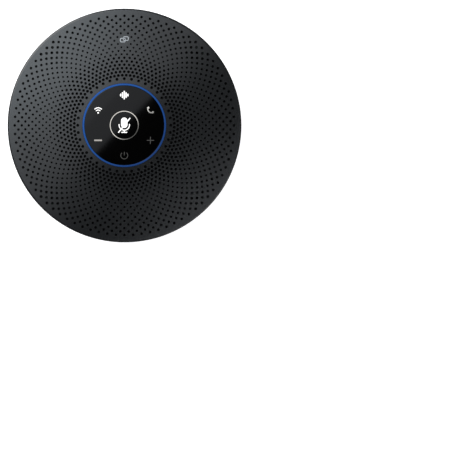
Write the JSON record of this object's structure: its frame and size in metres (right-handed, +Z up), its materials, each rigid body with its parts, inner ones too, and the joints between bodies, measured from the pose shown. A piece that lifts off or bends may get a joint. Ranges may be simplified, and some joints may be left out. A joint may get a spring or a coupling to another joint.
{
  "type": "conference speakerphone",
  "caption": "Round table-top speakerphone with a perforated crowned cover, glass touch panel and light ring over a bowl-shaped base with rear sockets.",
  "frame": {"origin": "centre of the foot ring's underside, on the table", "axes": "+Z up, -Y towards the user, +Y towards the sockets at the back"},
  "size_m": [0.1686, 0.1686, 0.0501],
  "materials": {
    "satin_cover": "satin dark grey moulding, fine texture",
    "black_glass": "gloss, black printed behind",
    "blue_light": "translucent light guide, lit blue",
    "white_print": "lit white symbol",
    "grey_print": "dimly lit symbol",
    "link_print": "pad-printed light grey ink",
    "shell_plastic": "fine spark-eroded texture, near black",
    "inner_plastic": "moulded, matt black",
    "diffuser": "milky white",
    "foot_rubber": "matt",
    "seal_foam": "closed-cell foam",
    "dust_fabric": "fine woven acoustic cloth",
    "board_green": "solder-masked circuit board",
    "component_black": "moulded packages",
    "led_white": "light-emitting diodes",
    "tin_shield": "tinned sheet",
    "screw_steel": "zinc plated",
    "magnet_steel": "zinc plated, passivated",
    "ferrite": "sintered ferrite, dark grey",
    "coil_copper": "enamelled copper wire on a former",
    "cone_paper": "treated paper pulp",
    "spider_cloth": "resin-dipped cotton",
    "mic_gold": "gold flash",
    "contact_steel": "nickel plated",
    "cell_wrap": "metal can in a blue heat-shrunk sleeve",
    "ribbon_amber": "polyimide flexible circuit",
    "wire_red": "insulated wire",
    "wire_grey": "insulated wire"
  },
  "bodies": {
    "housing": {"top_cover": "satin_cover", "cover_glass": "black_glass", "light_ring": "blue_light", "symbol_mute": "white_print", "symbol_mute_ring": "grey_print", "symbol_mode": "white_print", "symbol_wireless": "grey_print", "symbol_call": "grey_print", "symbol_volume": "grey_print", "symbol_power": "grey_print", "symbol_link": "link_print", "dust_cloth": "dust_fabric", "symbol_diffuser": "diffuser", "touch_board": "board_green", "ring_leds": "led_white", "symbol_leds": "led_white", "panel_tray": "inner_plastic", "panel_screws": "screw_steel", "chassis": "inner_plastic", "chassis_gasket": "seal_foam", "cover_screws": "screw_steel", "driver_gasket": "seal_foam", "driver_basket": "inner_plastic", "driver_top_plate": "magnet_steel", "driver_magnet": "ferrite", "driver_yoke": "magnet_steel", "driver_screws": "screw_steel", "driver_terminals": "mic_gold", "cone_surround": "foot_rubber", "cone_spider": "spider_cloth", "mic_boots": "seal_foam", "mic_capsules": "mic_gold", "mic_boards": "board_green", "main_board": "board_green", "board_chips": "component_black", "shield_can": "tin_shield", "radio_module": "tin_shield", "coils_and_capacitors": "component_black", "usb_socket": "contact_steel", "usb_tongue": "component_black", "audio_socket": "component_black", "board_screws": "screw_steel", "battery_cells": "cell_wrap", "battery_cradle": "inner_plastic", "battery_leads": "wire_red", "speaker_leads": "wire_red", "panel_flex": "ribbon_amber", "mic_leads": "wire_grey", "base_shell": "shell_plastic", "socket_bezel": "component_black", "foot_ring": "foot_rubber", "case_screws": "screw_steel"},
    "diaphragm": {"voice_coil": "coil_copper", "driver_cone": "cone_paper", "dust_cap": "cone_paper"}
  },
  "joints": [
    {"name": "diaphragm_travel", "type": "slide", "parent": "housing", "child": "diaphragm", "axis": [0, 0, 1], "range_m": [-0.0015, 0.0015], "stiffness_N_per_m": 2000, "deforming": ["cone_surround", "cone_spider"]}
  ]
}
